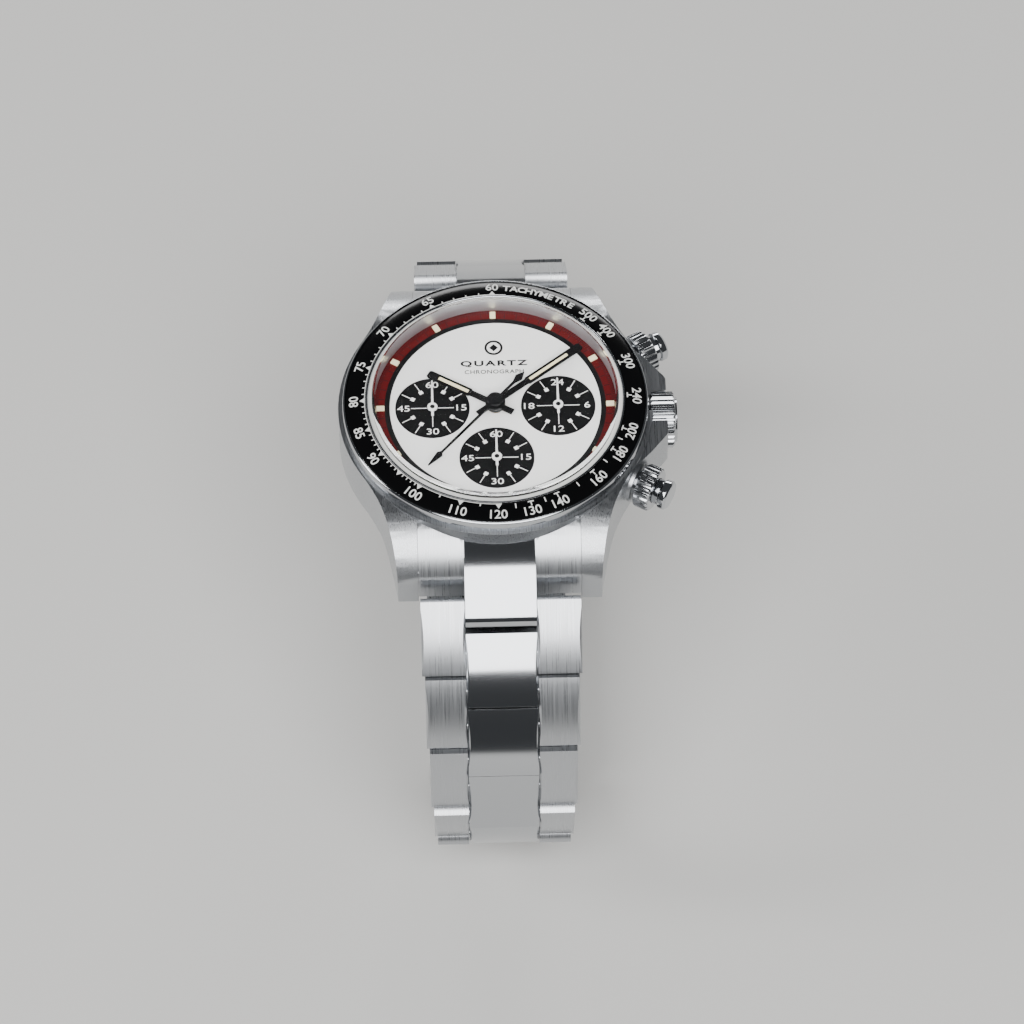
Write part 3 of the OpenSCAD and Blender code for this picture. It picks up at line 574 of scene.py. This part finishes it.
def buildLume(name, h):
    # cream bar lying in the hand's slot, a little proud of it
    low, high = span(name)
    top = low[2] + 0.05 + 0.2  # the hub reaches 0.05 below the blade, which is 0.2 thick
    half = h["w"] / 2 - handRim
    part = bar(-half, h["len"] * 0.4 + 0.02, half, h["len"] * 0.84, top - 0.07, top + 0.01)
    ob = meshObject(name + "Lume", *turned(part, h["angle"]), lumePaint, smooth=False)
    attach(ob, name)


for handName, handShape in handLume.items():
    buildLume(handName, handShape)


# ---- stage, light and camera ----

def buildStage():
    floor, tree, shader = newMaterial("paleFloor", "#D9D8D5", 0.6)
    p = np.array([(-3, -3, 0), (3, -3, 0), (3, 3, 0), (-3, 3, 0)], float)
    ground = meshObject("floor", p, [[0, 1, 2, 3]], floor, smooth=False)
    world = bpy.data.worlds.new("softStudio")
    bpy.context.scene.world = world
    world.use_nodes = True
    sky = world.node_tree.nodes["Background"]
    sky.inputs[0].default_value = linearColour("#C9CDD2")
    # a pale backdrop to the eye, but dim in the light it gives, so that the steel keeps contrast
    ray = addNode(world.node_tree, "ShaderNodeLightPath")
    glow = addNode(world.node_tree, "ShaderNodeMapRange", {"To Min": 0.12, "To Max": 0.75},
                   {"Value": ray.outputs["Is Camera Ray"]})
    world.node_tree.links.new(glow.outputs[0], sky.inputs[1])
    lamps = {
        "frontSoftbox": ((0.0, -0.68, 0.92), (1.1, 0.75), 18.0),
        "backSoftbox": ((0.1, 1.2, 0.42), (1.0, 0.3), 7.0),
        "leftStrip": ((-0.95, 0.0, 0.5), (0.25, 0.8), 5.0),
    }
    target = np.array([0, 0, 0.03])
    for name, (place, size, power) in lamps.items():
        light = bpy.data.lights.new(name, "AREA")
        light.shape = "RECTANGLE"
        light.size, light.size_y = size
        light.energy = power
        ob = bpy.data.objects.new(name, light)
        ob.location = place
        ob.rotation_mode = "QUATERNION"
        ob.rotation_quaternion = (Vector(target) - Vector(place)).to_track_quat("-Z", "Y")
        bpy.context.scene.collection.objects.link(ob)


def buildCamera():
    view = {"azimuth": -1.1, "elevation": 53.2, "roll": -0.15, "distance": 0.58,
            "focal": 164.3, "right": 1.97 * mm, "down": 12.8 * mm}
    a, e = math.radians(view["azimuth"]), math.radians(view["elevation"])
    away = Vector((math.sin(a) * math.cos(e), -math.cos(a) * math.cos(e), math.sin(e)))
    target = Vector((0, 0, dialTop * mm))
    right = Vector((math.cos(a), math.sin(a), 0))
    up = away.cross(right)
    place = target + away * view["distance"]
    aim = target + right * view["right"] - up * view["down"]
    back = (place - aim).normalized()
    side = Vector((0, 0, 1)).cross(back).normalized()
    turn = Matrix((side, back.cross(side), back)).transposed().to_4x4()
    tilt = Matrix.Rotation(math.radians(view["roll"]), 4, "Z")
    camera = bpy.data.cameras.new("camera")
    camera.lens = view["focal"]
    camera.clip_start, camera.clip_end = 0.01, 20
    ob = bpy.data.objects.new("camera", camera)
    ob.matrix_world = Matrix.Translation(place) @ turn @ tilt
    bpy.context.scene.collection.objects.link(ob)
    bpy.context.scene.camera = ob


buildStage()
buildCamera()
print("stage and camera set")
